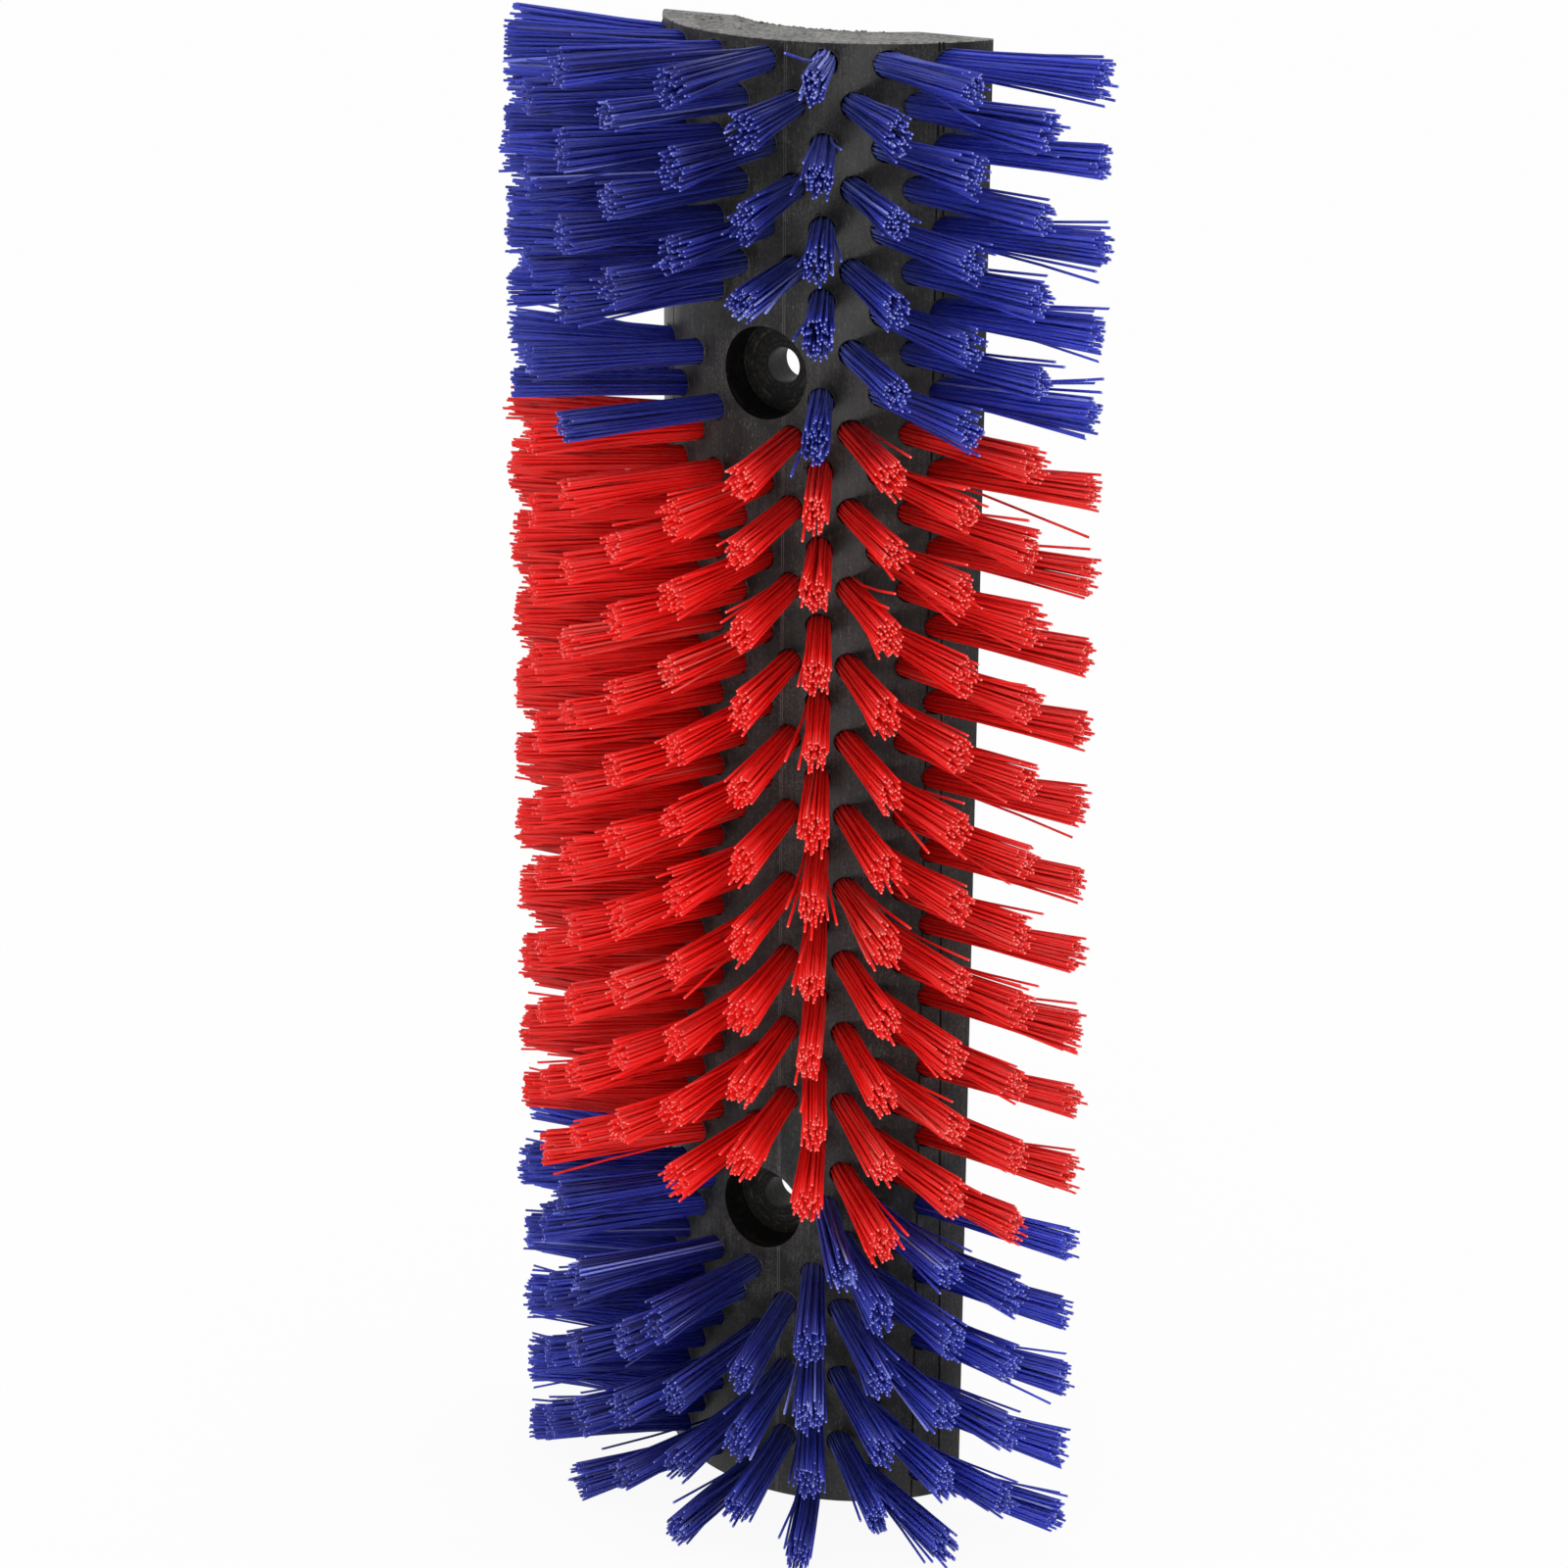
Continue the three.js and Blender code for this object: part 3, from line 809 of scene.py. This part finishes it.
def bristles(name, first_row, last_row, spread, seed):
    """The filaments of some half rows. Each tuft is packed round in its hole and fans out to its tips."""
    rng = np.random.default_rng(seed)
    strand = strand_model()
    unit = corners_of(strand)
    height = unit[:, 2]
    core = 1 - np.hypot(unit[:, 0], unit[:, 1])
    shapes, tints = [], []
    for tuft, (root, out, across, up) in tuft_frames(first_row, last_row).items():
        basis = np.array([across, up, out])
        lean = rng.normal(0, TUFT_LEAN, 2) + LEANING.get(tuft, (0, 0))
        fan = np.array([TIP_ACROSS, TIP_UP]) * spread * rng.uniform(*TUFT_FAN, 2)
        reach = TUFT_LENGTH + rng.normal(0, TUFT_REACH)
        worn = rng.choice(WORN_SHARES, p=WORN_ODDS)
        if tuft in LOOSE:
            worn = LOOSE_WORN
        # Painted light: a tuft's tint rises from painted shade at the crown to painted light at the flanks.
        painted_light_share = (abs(tuft[0]) / COLUMNS_EACH_SIDE) ** PAINTED_LIGHT_RISE
        tuft_painted_light = CROWN_PAINTED_SHADE + (FLANK_PAINTED_LIGHT - CROWN_PAINTED_SHADE) * painted_light_share
        for i, place in enumerate(packed_round(STRANDS, rng)):
            start = place * PACKED_R
            end = place * fan + lean + rng.normal(0, TIP_STRAY, 2)
            length = reach + np.clip(rng.normal(0, CUT_STRAY), *CUT_LIMITS)
            kind = rng.random()
            if kind < SHORT_SHARE:
                length -= rng.uniform(*SHORTER_BY)
            elif kind < SHORT_SHARE + APART_SHARE:
                away = place / max(np.hypot(*place), 0.2) + rng.normal(0, 0.4, 2)
                end = end + away * rng.uniform(*APART_BY)
            if i == 0 and tuft in LOOSE:
                end = np.array(LOOSE[tuft])
            bow = rng.normal(0, BOW, 2)
            along = height * (length + STRAND_IN_HOLE) - STRAND_IN_HOLE
            t = np.clip(along / length, 0, 1)[:, None]
            middle = start + (end - start) * t**SPLAY + bow * np.sin(math.pi * t) * t
            slope = rng.normal(0, CUT_SLOPE, 2)
            tilt = (unit[:, :2] @ slope) * STRAND_R * (height > 0.99)
            local = np.column_stack([middle + unit[:, :2] * STRAND_R, along + tilt])
            shapes.append(np.array(root) + local @ basis * MM)
            tint = WORN_TINT
            if rng.random() >= worn:
                tint = np.clip(rng.normal(tuft_painted_light, TINT_STRAY), 0, FRESH_TINT)
            tints.append(np.full(len(unit), tint))
    piece = copies_of(strand, name, shapes)
    for attribute, values in (
        ("tint", tints),
        ("run", [height] * len(shapes)),
        ("core", [core] * len(shapes)),
    ):
        made = piece.data.attributes.new(attribute, "FLOAT", "POINT")
        made.data.foreach_set("value", np.concatenate(values).astype(np.float32))
    return piece


# ---------------------------------------------------------------- camera and light


def camera():
    """Stands right of the bristles and above them, as the photograph was taken."""
    place = (0.69637, -1.14551, 0.7868)
    heading, elevation, roll = (math.radians(a) for a in (30.71, -19.59, 0.345))
    data = bpy.data.cameras.new("camera")
    data.lens = 85.8
    data.sensor_width = 36
    made = bpy.data.objects.new("camera", data)
    made.matrix_world = (
        Matrix.Translation(place)
        @ Matrix.Rotation(heading, 4, "Z")
        @ Matrix.Rotation(math.pi / 2 + elevation, 4, "X")
        @ Matrix.Rotation(roll, 4, "Z")
    )
    bpy.context.scene.collection.objects.link(made)
    bpy.context.scene.camera = made


def softbox(name, place, size, power):
    """A soft lamp, in metres and watts, turned to the middle of the segment."""
    data = bpy.data.lights.new(name, "AREA")
    data.shape = "RECTANGLE"
    data.size, data.size_y = size
    data.energy = power
    made = bpy.data.objects.new(name, data)
    made.location = place
    made.rotation_euler = (Vector((0, 0, LENGTH / 2)) - made.location).to_track_quat("-Z", "Y").to_euler()
    bpy.context.scene.collection.objects.link(made)


def studio():
    """A white floor and surroundings, a small lamp low in front and a large soft one on either side."""
    bpy.ops.object.select_all(action="DESELECT")
    bpy.ops.mesh.primitive_plane_add(size=40, location=(0, 0, 0))
    floor = start_piece("floor")
    floor.data.materials.append(studio_floor())
    softbox("front", (0.62, -1.6, 0.2), (0.3, 0.25), 7.4)
    softbox("left", (-1.9, -0.9, 1.1), (1.2, 1.4), 3.3)
    softbox("right", (1.9, -0.2, 1.0), (1.0, 1.6), 4.1)
    world = bpy.data.worlds.new("studio")
    world.use_nodes = True
    tree = world.node_tree
    tree.nodes.clear()
    strength = add(tree, "MapRange", {"Value": seen_share(tree), "To Min": 0.9, "To Max": 1.0})
    white = add(tree, "Background", {"Color": (1, 1, 1, 1), "Strength": strength.outputs[0]})
    add(tree, "OutputWorld", {"Surface": white.outputs[0]})
    bpy.context.scene.world = world
    bpy.context.scene.view_settings.view_transform = "Standard"


# ---------------------------------------------------------------- the segment

camera()
studio()

finishes = {
    TURNED: turned_polyethylene(),
    SAWN: sawn_polyethylene(),
    BORED_PAINTED_SHADE: bored_polyethylene_painted_shade(),
    BOLT_WALL: drilled_polyethylene("drilled_polyethylene", "#0e0e0d", "#302f2d", 0.4),
    EXTRUDED: extruded_polyethylene(),
    TUFT_WALL: drilled_polyethylene("tuft_hole_wall", "#141413", "#242422", 0.6),
}
shell = shell_body()
shell.data.materials.clear()
for finish in finishes.values():
    shell.data.materials.append(finish)
for face in shell.data.polygons:
    face.material_index = finish_of(face)
bpy.ops.object.select_all(action="DESELECT")
bpy.context.view_layer.objects.active = shell
shell.select_set(True)
bpy.ops.object.shade_smooth_by_angle(angle=math.radians(30))
for shreds, slot in ((drill_burrs(), TURNED), (saw_chips(), SAWN), *((curl, TURNED) for curl in swarf())):
    shreds.data.materials.append(finishes[slot])
    bpy.ops.object.select_all(action="DESELECT")
    bpy.context.view_layer.objects.active = shell
    shreds.select_set(True)
    shell.select_set(True)
    bpy.ops.object.join()
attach(shell, "root")
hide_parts("brush_shell")

# The crown colours are painted shade, the flank colours painted light, and the middles of the cut ends a
# painted glow.
BLUE = [
    polypropylene_filament(
        "blue_polypropylene",
        crown_painted_shade="#0d1160",
        flank_painted_light="#3c48c4",
        faded="#7a82d2",
        haze="#8090f0",
        through=(0.2, 0.25, 1.2),
        shine=0.36,
    ),
    cut_filament("blue_polypropylene_cut", rim="#1f2794", middle="#98a2e0"),
]
# The crown colours are painted shade, the flank colours painted light, and the middles of the cut ends a
# painted glow.
RED = [
    polypropylene_filament(
        "red_polypropylene",
        crown_painted_shade="#f61c1a",
        flank_painted_light="#da312e",
        faded="#ea4e48",
        haze="#ff4038",
        through=(0.5, 0.2, 0.16),
        shine=0.28,
    ),
    cut_filament("red_polypropylene_cut", rim="#dc1c16", middle="#f0948a"),
]
FIRST_RED = UPPER_BLUE_ROWS
LAST_RED = FIRST_RED + RED_ROWS - 1
MIDDLE_RED = FIRST_RED + RED_ROWS // 2  # the last half row of the upper red piece
for name, node, first, last, spread, strand_finishes, slot in (
    ("blue_bristles_upper", "blue_tufts_upper", 0, FIRST_RED - 1, 1, BLUE, "blue_filament"),
    ("red_bristles_upper", "red_tufts_upper", FIRST_RED, MIDDLE_RED, 1, RED, "red_filament"),
    ("red_bristles_lower", "red_tufts_lower", MIDDLE_RED + 1, LAST_RED, 1, RED, "red_filament"),
    (
        "blue_bristles_lower",
        "blue_tufts_lower",
        LAST_RED + 1,
        HALF_ROWS - 1,
        LOWER_BLUE_SPREAD,
        BLUE,
        "blue_filament",
    ),
):
    piece = bristles(name, first, last, spread, seed=first + 1)
    for finish in strand_finishes:
        piece.data.materials.append(finish)
    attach(piece, "root")
    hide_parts(node)
